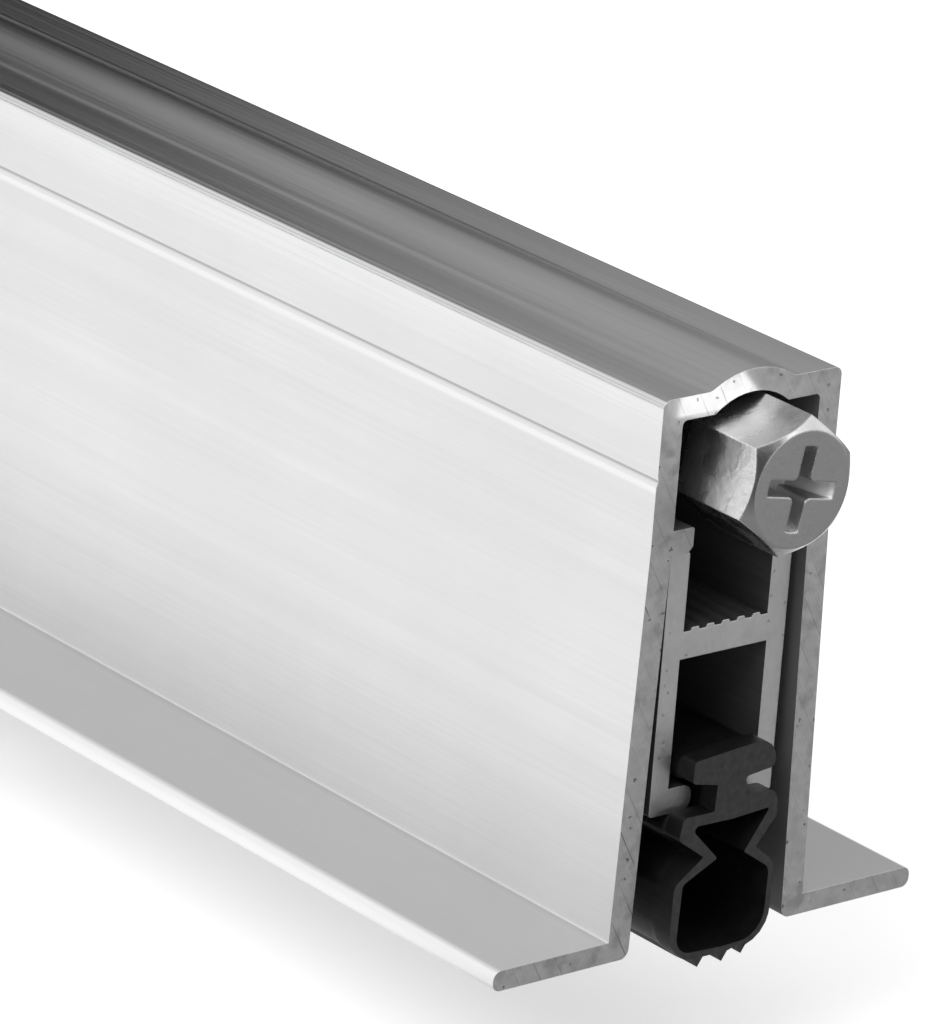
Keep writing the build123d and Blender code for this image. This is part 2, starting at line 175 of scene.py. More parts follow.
class StudioStage(PropertyGroup):
    """Camera, floor, lamp and surroundings."""

    camera_place: FloatVectorProperty(
        name="Camera place", description="Where the camera stands", subtype="TRANSLATION", unit="LENGTH",
        size=3, precision=6, default=(0.548882, -0.348199, 0.219322),
    )
    camera_turn: FloatVectorProperty(
        name="Camera turn", description="The camera's rotation", subtype="EULER",
        size=3, precision=5, default=[math.radians(a) for a in (69.90362, -4.09198, 51.34509)],
    )
    lens: FloatProperty(
        name="Lens", description="Focal length on a sensor 36 mm wide", unit="CAMERA", default=260.87
    )
    floor_gap: length_of("Floor gap", "Height of the raised seal above the floor", 10.7)
    key_power: FloatProperty(
        name="Key lamp", description="Power of the large lamp at the front left", unit="POWER", default=9.0
    )
    ambient: FloatProperty(
        name="Ambient", description="Strength of the surroundings on matt surfaces", default=0.55
    )
    floor_colour: colour_of("Floor colour", "Colour of the paper floor", 0.9, 0.9, 0.9)


# Meshes


def mesh_piece(name, points, faces, smooth_angle=40, open_ends=()):
    """A mesh object from points in metres, its rims at the given X closed and its sharp edges hard."""
    data = bpy.data.meshes.new(name)
    data.from_pydata([tuple(p) for p in points], [], faces)
    build = bmesh.new()
    build.from_mesh(data)
    bmesh.ops.recalc_face_normals(build, faces=build.faces)
    for face in build.faces:
        face.smooth = True
    for x in open_ends:
        rim = [e for e in build.edges if len(e.link_faces) == 1 and abs(e.verts[0].co.x - x) < 1e-6]
        bmesh.ops.triangle_fill(build, edges=rim, use_beauty=True, use_dissolve=False)
    if open_ends:
        bmesh.ops.recalc_face_normals(build, faces=build.faces)
    limit = math.radians(smooth_angle)
    for edge in build.edges:
        edge.smooth = len(edge.link_faces) == 2 and edge.calc_face_angle(0) < limit
    build.to_mesh(data)
    build.free()
    piece = bpy.data.objects.new(name, data)
    bpy.context.scene.collection.objects.link(piece)
    return piece


def finished(piece, body, material, *nodes, slot=None):
    """Gives a new piece its material and body, and hides the CAD nodes that it stands for. Its slot is not
    used.
    """
    piece.data.materials.append(material)
    if body:
        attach(piece, body)
    if nodes:
        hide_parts(*nodes)
    return piece


def dress(node, material):
    """Gives a CAD node its material."""
    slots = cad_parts[node].data.materials
    slots.clear()
    slots.append(material)


def rounded(corners, steps):
    """Points of an open outline with each inner corner (y, z, radius) rounded by an arc."""
    points = [Vector(corners[0][:2])]
    for before, corner, after in zip(corners, corners[1:], corners[2:]):
        place, radius = Vector(corner[:2]), corner[2]
        back = (Vector(before[:2]) - place).normalized()
        ahead = (Vector(after[:2]) - place).normalized()
        half_turn = back.angle(ahead) / 2
        reach = radius / math.tan(half_turn)
        centre = place + (back + ahead).normalized() * (radius / math.sin(half_turn))
        start, end = place + back * reach, place + ahead * reach
        for step in range(steps + 1):
            ray = (start - centre).lerp(end - centre, step / steps)
            points.append(centre + ray.normalized() * radius)
    points.append(Vector(corners[-1][:2]))
    return points


def turned(name, profile, centre, steps):
    """A solid turned about a vertical axis from (radius, height) points, with flat ends."""
    points, faces = [], []
    for radius, height in profile:
        for step in range(steps):
            turn = math.tau * step / steps
            points.append(centre + Vector((radius * math.cos(turn), radius * math.sin(turn), height)))
    for ring in range(len(profile) - 1):
        for step in range(steps):
            ahead = (step + 1) % steps
            low, high = ring * steps, (ring + 1) * steps
            faces.append((low + step, low + ahead, high + ahead, high + step))
    faces.append(tuple(range(steps))[::-1])
    faces.append(tuple((len(profile) - 1) * steps + step for step in range(steps)))
    return mesh_piece(name, points, faces)


# Shader nodes

# Sockets of a Mix node for each kind of value: first, second and result
MIX_SOCKETS = {"RGBA": (6, 7, 2), "VECTOR": (4, 5, 1), "FLOAT": (2, 3, 0)}


def node(tree, kind, inputs=None, **settings):
    """A shader node with its settings, and inputs given as numbers or as sockets to link."""
    made = tree.nodes.new("ShaderNode" + kind)
    for key, value in settings.items():
        setattr(made, key, value)
    for key, value in (inputs or {}).items():
        socket = made.inputs[key]
        if isinstance(value, NodeSocket):
            tree.links.new(value, socket)
        else:
            socket.default_value = value
    return made


def maths(tree, operation, first, second=0.0):
    """The value of a Math node."""
    return node(tree, "Math", {0: first, 1: second}, operation=operation).outputs[0]


def times(tree, *values):
    """The product of the values."""
    return reduce(lambda first, second: maths(tree, "MULTIPLY", first, second), values)


def plus(tree, *values):
    """The sum of the values."""
    return reduce(lambda first, second: maths(tree, "ADD", first, second), values)


def minus(tree, first, second):
    """The first value less the second."""
    return maths(tree, "SUBTRACT", first, second)


def ranged(tree, value, low, high, to_low=0.0, to_high=1.0, smooth=False):
    """Value mapped from one range to another, and held at its ends."""
    kind = "SMOOTHSTEP" if smooth else "LINEAR"
    inputs = {"Value": value, "From Min": low, "From Max": high, "To Min": to_low, "To Max": to_high}
    return node(tree, "MapRange", inputs, interpolation_type=kind).outputs[0]


def mixed(tree, share, first, second, kind="RGBA"):
    """The colour, vector or number between first and second."""
    low, high, result = MIX_SOCKETS[kind]
    if kind == "RGBA":
        first, second = (v if isinstance(v, NodeSocket) else (*v, 1) for v in (first, second))
    return node(tree, "Mix", {0: share, low: first, high: second}, data_type=kind).outputs[result]


def layered(tree, colour, *layers):
    """A colour with others laid over it, each given as its mask, its greatest share and itself."""
    for mask, most, over in layers:
        colour = mixed(tree, ranged(tree, mask, 0, 1, 0.0, most), colour, over)
    return colour


def shade(colour, factor):
    """A colour made darker, or lighter above one."""
    return tuple(c * factor for c in colour)


def object_place(tree):
    """The shaded point on its object, in metres."""
    return node(tree, "TexCoord").outputs["Object"]


def split(tree, vector=None):
    """The X, Y and Z of a vector, or else of the shaded point on its object."""
    vector = object_place(tree) if vector is None else vector
    return node(tree, "SeparateXYZ", {0: vector}).outputs


def vector_maths(tree, operation, first, second=(0, 0, 0), result="Vector"):
    """The vector or value of a Vector Math node."""
    made = node(tree, "VectorMath", {0: first, 1: second}, operation=operation)
    return made.outputs[result]


def noise(tree, place, scale, detail=2.0, roughness=0.5, distortion=0.0):
    """The outputs of a noise texture, its value first."""
    inputs = {"Vector": place, "Scale": scale, "Detail": detail}
    inputs |= {"Roughness": roughness, "Distortion": distortion}
    return node(tree, "TexNoise", inputs).outputs


def effect(name, inputs, *outputs):
    """An empty node group with named numbers in, and numbers or a Normal out, and both of its ends."""
    tree = bpy.data.node_groups.new(name, "ShaderNodeTree")
    for label, default in inputs.items():
        socket = tree.interface.new_socket(name=label, in_out="INPUT", socket_type="NodeSocketFloat")
        socket.default_value = default
    for label in outputs:
        kind = "NodeSocketVector" if label == "Normal" else "NodeSocketFloat"
        tree.interface.new_socket(name=label, in_out="OUTPUT", socket_type=kind)
    given = tree.nodes.new("NodeGroupInput")
    result = tree.nodes.new("NodeGroupOutput")
    return tree, given.outputs, result.inputs


def use(tree, name, **inputs):
    """Outputs of a node group placed in a material with its own values."""
    made = tree.nodes.new("ShaderNodeGroup")
    made.node_tree = bpy.data.node_groups[name]
    for label, value in inputs.items():
        made.inputs[label.replace("_", " ").capitalize()].default_value = value
    return made.outputs


def build_drawing_streaks():
    """Long fine streaks along the extrusion, from being pushed through its die."""
    stretch_along, broad_scale, cloud_scale = 0.012, 0.17, 55.0
    tree, given, result = effect("Drawing streaks", {"Pitch": 0.3 * MM}, "Streaks", "Clouds")
    place = object_place(tree)
    scale = maths(tree, "DIVIDE", 1.0, given["Pitch"])
    stretch = {"X": times(tree, scale, stretch_along), "Y": scale, "Z": scale}
    stretch = node(tree, "CombineXYZ", stretch).outputs[0]
    stretched = vector_maths(tree, "MULTIPLY", place, stretch)
    fine = noise(tree, stretched, 1.0, 4.0, 0.6)[0]
    broad = noise(tree, stretched, broad_scale)[0]
    both = plus(tree, times(tree, fine, 0.55), times(tree, broad, 0.45))
    tree.links.new(ranged(tree, both, 0.3, 0.7), result["Streaks"])
    clouds = noise(tree, place, cloud_scale, 3.0, 0.55)[0]
    tree.links.new(ranged(tree, clouds, 0.3, 0.7), result["Clouds"])


def build_saw_cut():
    """Thin slanting saw lines, grain, smudges and pits on a sawn end face."""
    inputs = {"Pitch": 2.1 * MM, "Slant": 0.56, "Width": 0.065 * MM}
    outputs = ("Lines", "Glints", "Grain", "Smudges", "Pits")
    tree, given, result = effect("Saw cut", inputs, *outputs)
    place = object_place(tree)
    axes = split(tree, place)

    # Lines: each has its number, and a draw of its own that makes it dark, bright or faint
    wander, first_number, comb = 0.3 * MM, 30.0, 16.0
    across = plus(tree, axes["Y"], times(tree, axes["Z"], given["Slant"]))
    bowed = plus(tree, across, times(tree, noise(tree, place, 170.0)[0], wander))
    count = maths(tree, "DIVIDE", bowed, given["Pitch"])
    number = maths(tree, "ROUND", count)
    offset = times(tree, maths(tree, "ABSOLUTE", minus(tree, count, number)), given["Pitch"])
    line = ranged(tree, offset, times(tree, given["Width"], 0.4), given["Width"], 1.0, 0.0)
    draw = {"W": plus(tree, number, first_number)}
    draw = node(tree, "TexWhiteNoise", draw, noise_dimensions="1D").outputs["Value"]
    broken = ranged(tree, noise(tree, place, 260.0)[0], 0.38, 0.6, 0.1, 1.0)
    fading_right = ranged(tree, axes["Y"], 0.0, 8 * MM, 1.0, 0.4)
    dark = times(tree, ranged(tree, draw, 0.15, 0.75, 1.0, 0.0), broken, fading_right)
    tree.links.new(times(tree, line, dark), result["Lines"])
    lighter_side = plus(tree, draw, ranged(tree, axes["Y"], 4 * MM, 9 * MM, 0.0, 0.25))
    tree.links.new(times(tree, line, ranged(tree, lighter_side, 0.83, 0.87)), result["Glints"])

    # Grain: a comb along the cut, and fine clouds
    combed = {"W": times(tree, count, comb), "Scale": 1.0, "Detail": 1.0}
    combed = node(tree, "TexNoise", combed, noise_dimensions="1D").outputs[0]
    cloud = noise(tree, place, 1400.0)[0]
    grain = plus(tree, times(tree, combed, 0.35), times(tree, cloud, 0.65))
    tree.links.new(ranged(tree, grain, 0.3, 0.7), result["Grain"])
    smudge = noise(tree, place, 480.0, 3.0, 0.6)[0]
    tree.links.new(ranged(tree, smudge, 0.53, 0.7), result["Smudges"])

    # Pits: ragged spots in a few of the cells
    ragged_by, cells_per_metre = 0.5 * MM, 620.0
    face = node(tree, "CombineXYZ", {"X": axes["Y"], "Y": axes["Z"]}).outputs[0]
    ragged = noise(tree, place, 2600.0, 1.0)["Color"]
    shifted = {0: ragged, 1: (ragged_by,) * 3, 2: face}
    shifted = node(tree, "VectorMath", shifted, operation="MULTIPLY_ADD").outputs[0]
    cells = {"Vector": shifted, "Scale": cells_per_metre}
    cells = node(tree, "TexVoronoi", cells, voronoi_dimensions="2D").outputs
    pit = ranged(tree, cells["Distance"], 0.05, 0.1, 1.0, 0.0)
    rare = node(tree, "SeparateColor", {0: cells["Color"]}).outputs[0]
    tree.links.new(times(tree, pit, ranged(tree, rare, 0.6, 0.8)), result["Pits"])


def build_cut_end():
    """One on faces that look along the extrusion, nothing elsewhere."""
    tree, given, result = effect("Cut end", {"Limit": 0.95}, "Mask")
    normal = node(tree, "NewGeometry").outputs["True Normal"]
    along = maths(tree, "ABSOLUTE", split(tree, normal)["X"])
    tree.links.new(maths(tree, "GREATER_THAN", along, given["Limit"]), result["Mask"])


def build_broken_edge():
    """A slightly rounded normal, and a mask of the edges that it rounds."""
    tree, given, result = effect("Broken edge", {"Radius": 0.1 * MM}, "Mask", "Normal")
    soft = node(tree, "Bevel", {"Radius": given["Radius"]}, samples=4).outputs[0]
    flat = node(tree, "NewGeometry").outputs["True Normal"]
    match = vector_maths(tree, "DOT_PRODUCT", soft, flat, "Value")
    tree.links.new(ranged(tree, match, 0.995, 0.8, 0.0, 1.0), result["Mask"])
    tree.links.new(soft, result["Normal"])


def build_handling_marks():
    """Small dents, nicks and dull smears from handling."""
    smears_to_size, cells_to_size = 0.45, 1.6
    tree, given, result = effect("Handling marks", {"Size": 1.0 * MM}, "Dents", "Smears", "Nicks")
    place = object_place(tree)
    scale = maths(tree, "DIVIDE", 1.0, given["Size"])
    tree.links.new(noise(tree, place, scale, 3.0, 0.55)[0], result["Dents"])
    smears = noise(tree, place, times(tree, scale, smears_to_size), 4.0, distortion=0.8)[0]
    tree.links.new(ranged(tree, smears, 0.35, 0.65), result["Smears"])
    cells = {"Vector": place, "Scale": times(tree, scale, cells_to_size)}
    cells = node(tree, "TexVoronoi", cells, feature="DISTANCE_TO_EDGE").outputs["Distance"]
    tree.links.new(ranged(tree, cells, 0.0, 0.03, 1.0, 0.0), result["Nicks"])


def build_channel_inside():
    """One on the surfaces inside the channel, nothing outside."""
    inputs = {"Half width": 7.9 * MM, "Ceiling": 41.3 * MM, "Axis height": 36.5 * MM, "Arch": 6.3 * MM}
    tree, given, result = effect("Channel inside", inputs, "Mask")
    axes = split(tree)
    narrow = maths(tree, "LESS_THAN", maths(tree, "ABSOLUTE", axes["Y"]), given["Half width"])
    low = maths(tree, "LESS_THAN", axes["Z"], given["Ceiling"])
    rise = minus(tree, axes["Z"], given["Axis height"])
    flat = node(tree, "CombineXYZ", {"Y": axes["Y"], "Z": rise}).outputs[0]
    radius = vector_maths(tree, "LENGTH", flat, result="Value")
    arched = maths(tree, "LESS_THAN", radius, given["Arch"])
    tree.links.new(maths(tree, "MAXIMUM", times(tree, narrow, low), arched), result["Mask"])


def build_painted_highlight():
    """One on the part of the cut crown that is painted white as a highlight, fading round it, and its tilted
    normal.
    """
    slant, edge, tilt = 0.9, 0.4 * MM, (0, -0.15, 0.5)
    inputs = {"From": -8.2 * MM, "To": 0.9 * MM, "Above": 41.0 * MM, "Fade": 1.6 * MM}
    tree, given, result = effect("Painted highlight patch", inputs, "Mask", "Normal")
    normal = node(tree, "NewGeometry").outputs["Normal"]
    axes = split(tree)
    fade, above = given["Fade"], given["Above"]
    slanted = plus(tree, axes["Y"], times(tree, minus(tree, axes["Z"], above), slant))
    begin = ranged(tree, minus(tree, axes["Y"], given["From"]), 0.0, fade, smooth=True)
    over = ranged(tree, minus(tree, slanted, given["To"]), 0.0, fade, 1.0, 0.0, smooth=True)
    high = ranged(tree, axes["Z"], above, plus(tree, above, edge))
    mask = times(tree, begin, over, high)
    tree.links.new(mask, result["Mask"])
    tilt = node(tree, "VectorMath", {0: tilt, "Scale": mask}, operation="SCALE").outputs[0]
    tree.links.new(vector_maths(tree, "NORMALIZE", vector_maths(tree, "ADD", normal, tilt)), result["Normal"])


# Materials


def new_material(name):
    """A material with one Principled shader. Returns it, its tree and the shader's inputs."""
    material = bpy.data.materials.new(name)
    material.use_nodes = True
    tree = material.node_tree
    return material, tree, tree.nodes["Principled BSDF"].inputs


def bumped(tree, height, distance, normal=None):
    """The normal of a Bump node."""
    inputs = {"Height": height, "Distance": distance}
    if normal:
        inputs["Normal"] = normal
    return node(tree, "Bump", inputs).outputs[0]


def drawn_colour(tree, size, streaks, axes, inside_shade_mask):
    """Colour of the drawn surfaces, and the mask of the flanges."""
    bright = tuple(size.colour)
    dull = (streaks["Streaks"], 0.5, shade(bright, 0.86)), (streaks["Clouds"], 0.5, shade(bright, 0.88))
    colour = layered(tree, bright, *dull)
    bands = ranged(tree, use(tree, "Drawing streaks", pitch=size.band_pitch)["Streaks"], 0.35, 0.8)
    on_roof = ranged(tree, axes["Z"], CEILING, CROWN, 0.0, 0.55)
    colour = mixed(tree, times(tree, bands, on_roof), colour, shade(bright, 0.72))

    # Flanges: a darker colour, with painted shade in the corner at the wall and a painted highlight on the
    # rolled outer edge
    start, edge = size.flange_from, 0.12 * MM
    out = maths(tree, "ABSOLUTE", axes["Y"])
    on_flange = ranged(tree, out, start, start + edge, 0.0, 0.9)
    colour = mixed(tree, on_flange, colour, size.flange_colour)
    # Painted shade in the corner where the flange meets the wall
    painted_corner_shade = ranged(tree, out, start + 0.1 * MM, start + 0.9 * MM, 0.4, 0.0)
    colour = mixed(tree, times(tree, painted_corner_shade, on_flange), colour, shade(size.flange_colour, 0.8))
    # Painted highlight: the rolled outer edge is made white
    rolled = ranged(tree, out, start + 10.2 * MM, start + 10.7 * MM)
    colour = mixed(tree, rolled, colour, WHITE)

    # Drilling line: a painted highlight in a band below it, and painted shade in it
    over_line = minus(tree, axes["Z"], size.line_height)
    band_foot = ranged(tree, over_line, -1.1 * MM, -0.8 * MM)
    band_top = ranged(tree, over_line, -0.3 * MM, -0.1 * MM, 1.0, 0.0)
    colour = mixed(tree, times(tree, band_foot, band_top), colour, WHITE)
    painted_groove_shade = ranged(tree, maths(tree, "ABSOLUTE", over_line), 0.05 * MM, 0.14 * MM, 0.4, 0.0)
    colour = mixed(tree, painted_groove_shade, colour, size.painted_shade_colour)
    # Painted shade on the surfaces inside the channel
    return mixed(tree, inside_shade_mask, colour, size.painted_shade_colour), on_flange


def aluminium(name):
    """Drawn aluminium with sawn ends, and painted shade on the surfaces inside the channel."""
    size = bpy.context.scene.seal_aluminium
    material, tree, shader = new_material(name)
    streaks = use(tree, "Drawing streaks", pitch=size.streak_pitch)
    saw = use(tree, "Saw cut", pitch=size.saw_pitch)
    end = use(tree, "Cut end")["Mask"]
    edge = use(tree, "Broken edge", radius=size.edge_radius)
    inside_shade_mask = use(tree, "Channel inside")["Mask"]
    painted_highlight_patch = use(tree, "Painted highlight patch")
    axes = split(tree)
    drawn_part = minus(tree, 1.0, end)

    drawn, on_flange = drawn_colour(tree, size, streaks, axes, inside_shade_mask)
    base = tuple(size.cut_colour)
    sawn = mixed(tree, saw["Grain"], shade(base, 0.9), shade(base, 1.08))
    sawn = layered(
        tree,
        # Painted highlight: the patch on the cut crown is made white
        mixed(tree, times(tree, painted_highlight_patch["Mask"], end), sawn, WHITE),
        (saw["Smudges"], 0.55, shade(base, 0.55)),
        (saw["Lines"], 0.75, shade(base, 0.2)),
        (saw["Pits"], 0.75, shade(base, 0.2)),
        (saw["Glints"], 0.65, WHITE),
        (edge["Mask"], 0.7, size.colour),
    )
    tree.links.new(mixed(tree, end, drawn, sawn), shader["Base Color"])

    level = ranged(tree, axes["Z"], SHOULDER, ROOF, size.wall_roughness, size.roughness)
    duller_foot = ranged(tree, axes["Z"], LEG_FOOT, LEG_TOP, 0.16, 0.0)
    level = plus(tree, level, duller_foot, ranged(tree, streaks["Streaks"], 0, 1, 0.0, 0.08))
    sawn_level = ranged(tree, saw["Grain"], 0, 1, 0.42, 0.52)
    both = plus(tree, times(tree, drawn_part, level), times(tree, end, sawn_level))
    tree.links.new(both, shader["Roughness"])
    on_wall = ranged(tree, axes["Z"], WALL_TOP, CEILING, 0.14, 0.0)
    walls = times(tree, on_wall, minus(tree, 1.0, on_flange))
    unlike_metal = times(tree, maths(tree, "MAXIMUM", inside_shade_mask, walls), drawn_part)
    tree.links.new(minus(tree, 1.0, unlike_metal), shader["Metallic"])

    patch = times(tree, end, painted_highlight_patch["Mask"])
    normal = mixed(tree, patch, edge["Normal"], painted_highlight_patch["Normal"], "VECTOR")
    normal = bumped(tree, times(tree, streaks["Streaks"], drawn_part), size.streak_depth, normal)
    cut_relief = minus(tree, times(tree, saw["Grain"], 0.12), saw["Lines"])
    normal = bumped(tree, times(tree, cut_relief, end), 0.015 * MM, normal)
    tree.links.new(normal, shader["Normal"])
    return material


def bar_aluminium(name):
    """Aluminium of the drop bar: painted shade on the flanks in the dark of the channel, clean sawn ends."""
    size = bpy.context.scene.seal_aluminium
    material, tree, shader = new_material(name)
    streaks = use(tree, "Drawing streaks", pitch=size.streak_pitch)["Streaks"]
    saw = use(tree, "Saw cut", pitch=size.saw_pitch * 3, slant=0.3)
    end = use(tree, "Cut end")["Mask"]
    edge = use(tree, "Broken edge", radius=size.edge_radius * 1.5)
    base, painted_shade = shade(size.cut_colour, 1.12), tuple(size.painted_shade_colour)
    # Painted shade on the flanks
    flank = mixed(tree, streaks, shade(painted_shade, 0.4), shade(painted_shade, 0.65))
    sawn = mixed(tree, saw["Grain"], shade(base, 0.95), shade(base, 1.04))
    sawn = layered(tree, sawn, (saw["Pits"], 0.5, shade(base, 0.3)), (edge["Mask"], 0.75, size.colour))
    tree.links.new(mixed(tree, end, flank, sawn), shader["Base Color"])
    tree.links.new(ranged(tree, streaks, 0, 1, 0.38, 0.5), shader["Roughness"])
    tree.links.new(end, shader["Metallic"])
    tree.links.new(bumped(tree, streaks, size.streak_depth, edge["Normal"]), shader["Normal"])
    return material


def zinc_plate(name):
    """Bright zinc on the cold-headed adjusting screw."""
    size = bpy.context.scene.seal_steel
    material, tree, shader = new_material(name)
    marks = use(tree, "Handling marks", size=1.3 * MM)
    edge = use(tree, "Broken edge", radius=size.head_radius)
    low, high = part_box("adjusting_screw")
    middle, face = (low.z + high.z) / 2, high.x
    axes = split(tree)
    facing = split(tree, node(tree, "NewGeometry").outputs["True Normal"])
    base = tuple(size.zinc)
    nicks, rounds = (marks["Nicks"], 0.12, shade(WHITE, 0.95)), (edge["Mask"], 0.35, shade(WHITE, 0.9))
    colour = layered(tree, base, (marks["Smears"], 0.5, shade(base, 0.72)), nicks, rounds)

    # Painted shade on the top, a painted highlight on the left flank at the front, and painted shade in a
    # corner of the bevel
    # Painted shade on the faces that look up
    up = ranged(tree, facing["Z"], 0.75, 0.9, 0.0, 0.6)
    painted_top_shade = times(tree, up, ranged(tree, axes["Y"], -1.5 * MM, 0.0))
    colour = mixed(tree, painted_top_shade, colour, shade(base, 0.45))
    # Painted highlight on the left flank at the front
    at_front = ranged(tree, axes["X"], face - 4.4 * MM, face - 3 * MM)
    flank = times(tree, at_front, ranged(tree, facing["Y"], -0.5, -0.8))
    colour = mixed(tree, flank, colour, WHITE)
    # Painted shade in the upper left corner of the bevel
    steep, shallow = ranged(tree, facing["X"], 0.2, 0.3), ranged(tree, facing["X"], 0.97, 0.93)
    left = ranged(tree, axes["Y"], -1.6 * MM, -2.4 * MM)
    upper = ranged(tree, axes["Z"], middle - 1.5 * MM, middle + 0.5 * MM)
    corner = times(tree, times(tree, steep, shallow), times(tree, left, upper))
    colour = mixed(tree, corner, colour, shade(base, 0.38))

    # Painted shade in the recess, which is also rougher
    flat = {"Y": axes["Y"], "Z": minus(tree, axes["Z"], middle)}
    flat = node(tree, "CombineXYZ", flat).outputs[0]
    near_axis = maths(tree, "LESS_THAN", vector_maths(tree, "LENGTH", flat, result="Value"), 3.3 * MM)
    sunk = times(tree, ranged(tree, axes["X"], face - 0.1 * MM, face - 0.5 * MM), near_axis)
    # Painted shade in the recess
    colour = mixed(tree, times(tree, sunk, 0.45), colour, shade(base, 0.4))
    tree.links.new(colour, shader["Base Color"])
    level = size.zinc_roughness
    level = ranged(tree, marks["Smears"], 0, 1, level - 0.05, level + 0.1)
    tree.links.new(plus(tree, level, times(tree, sunk, 0.2)), shader["Roughness"])
    shader["Metallic"].default_value = 1.0
    tree.links.new(bumped(tree, marks["Dents"], 0.06 * MM, edge["Normal"]), shader["Normal"])
    return material


def plain_metal(name, base, roughness, mark_size):
    """Rolled or turned steel with handling marks, for hardware and springs."""
    material, tree, shader = new_material(name)
    marks = use(tree, "Handling marks", size=mark_size)
    streaks = use(tree, "Drawing streaks", pitch=0.25 * MM)["Streaks"]
    drawn, smeared = (streaks, 0.5, shade(base, 0.75)), (marks["Smears"], 0.4, shade(base, 0.55))
    tree.links.new(layered(tree, base, drawn, smeared), shader["Base Color"])
    level = ranged(tree, marks["Smears"], 0, 1, roughness, roughness + 0.14)
    tree.links.new(level, shader["Roughness"])
    shader["Metallic"].default_value = 1.0
    tree.links.new(bumped(tree, marks["Dents"], 0.02 * MM), shader["Normal"])
    return material


def moulded_nylon(name):
    """Natural nylon with a faint moulded grain."""
    material, tree, shader = new_material(name)
    marks = use(tree, "Handling marks", size=0.5 * MM)
    base = tuple(bpy.context.scene.seal_steel.nylon)
    tree.links.new(mixed(tree, marks["Smears"], base, shade(base, 0.9)), shader["Base Color"])
    tree.links.new(ranged(tree, marks["Dents"], 0.3, 0.7, 0.38, 0.52), shader["Roughness"])
    tree.links.new(bumped(tree, marks["Dents"], 0.02 * MM), shader["Normal"])
    return material


def black_rubber(name):
    """Extruded rubber: a dull skin with fine die lines, and a greyer cut end."""
    size = bpy.context.scene.seal_rubber
    material, tree, shader = new_material(name)
    streaks = use(tree, "Drawing streaks", pitch=0.4 * MM)["Streaks"]
    marks = use(tree, "Handling marks", size=0.6 * MM)
    end = use(tree, "Cut end", limit=0.8)["Mask"]
    skin, cut = tuple(size.colour), tuple(size.cut_colour)
    dull = layered(tree, skin, (marks["Smears"], 0.6, shade(skin, 2.2)))
    uneven = ranged(tree, marks["Dents"], 0.3, 0.7)
    sliced = mixed(tree, uneven, shade(cut, 0.8), shade(cut, 1.2))
    tree.links.new(mixed(tree, end, dull, sliced), shader["Base Color"])
    tree.links.new(ranged(tree, end, 0, 1, 0.5, 0.75), shader["Roughness"])
    shader["Specular IOR Level"].default_value = 0.25
    relief = plus(tree, times(tree, streaks, 0.5), times(tree, marks["Dents"], 0.5))
    tree.links.new(bumped(tree, relief, 0.03 * MM), shader["Normal"])
    return material


# Operators: one for each piece or group of like pieces

# Half of the seal's section in millimetres, from the centre plane at its top to that at its foot.
# Each corner (y, z, radius) stands as held by the bar, free on the +Y side, and free on the -Y side.
SEAL_OUTER = (
    ((0, 14.0, 0), (0.1, 14.45, 0), None),
    ((3.95, 13.65, 0.8), (4.03, 14.65, 1.7), (-4.05, 14.1, 0.35)),
    ((3.95, 11.8, 0.8), (4.0, 12.25, 0.45), (-4.15, 12.35, 0.4)),
    ((1.45, 11.8, 0.05), (1.2, 11.95, 0.3), (-1.6, 11.8, 0.1)),
    ((1.45, 9.0, 0.05), (1.35, 10.45, 0.15), (-1.72, 9.65, 0.1)),
    ((4.72, 9.0, 0.8), (4.5, 10.35, 1.1), (-4.72, 9.7, 0.45)),
    ((4.72, 7.7, 0.8), (4.68, 8.2, 0.7), (-5.0, 7.95, 0.45)),
    ((2.7, 5.85, 0.12), (2.75, 5.93, 0.12), (-2.4, 6.1, 0.12)),
    ((5.12, 4.45, 1.5), (4.75, 4.35, 1.3), (-5.1, 4.25, 1.0)),
    ((5.12, -2.1, 3.0), (4.75, -2.05, 2.7), (-5.12, -2.1, 2.6)),
    ((0, -2.1, 0), (0, -2.2, 0), None),
)
SEAL_CHAMBER = (
    ((0, 8.17, 0), (0.2, 8.72, 0), None),
    ((3.89, 8.17, 0.25), (3.9, 8.95, 0.15), (-4.0, 8.8, 0.35)),
    ((1.4, 5.85, 0.25), (1.62, 5.75, 0.15), (-1.0, 5.75, 0.15)),
    ((4.29, 4.04, 1.08), (4.3, 3.95, 1.0), (-4.25, 4.2, 0.6)),
    ((4.29, -1.6, 2.17), (4.2, -1.6, 2.3), (-4.45, -1.5, 1.5)),
    ((0, -1.6, 0), (0, -1.7, 0), None),
)
# Tips of the foot's ribs (y, z), held and free
SEAL_RIBS = (((2.15, -2.95), (2.2, -2.7)), ((0.0, -2.95), (0.3, -2.95)), ((-2.15, -2.95), (-2.1, -2.92)))
RIB_HALF, RIB_HEIGHT = 0.5, 0.85


class DOORSEAL_OT_effects(Operator):
    """Build the shared surface effects"""

    bl_idname = "doorseal.effects"
    bl_label = "Surface Effects"

    def execute(self, context):
        build_drawing_streaks()
        build_saw_cut()
        build_cut_end()
        build_broken_edge()
        build_handling_marks()
        build_channel_inside()
        build_painted_highlight()
        return {"FINISHED"}


class DOORSEAL_OT_housing(Operator):
    """Finish the housing in drawn aluminium with sawn ends"""

    bl_idname = "doorseal.housing"
    bl_label = "Housing"

    def execute(self, context):
        dress("housing", aluminium("Mill aluminium"))
        return {"FINISHED"}


class DOORSEAL_OT_drop_bar(Operator):
    """Finish the drop bar in aluminium"""

    bl_idname = "doorseal.drop_bar"
    bl_label = "Drop Bar"

    def execute(self, context):
        dress("drop_bar", bar_aluminium("Bar aluminium"))
        return {"FINISHED"}


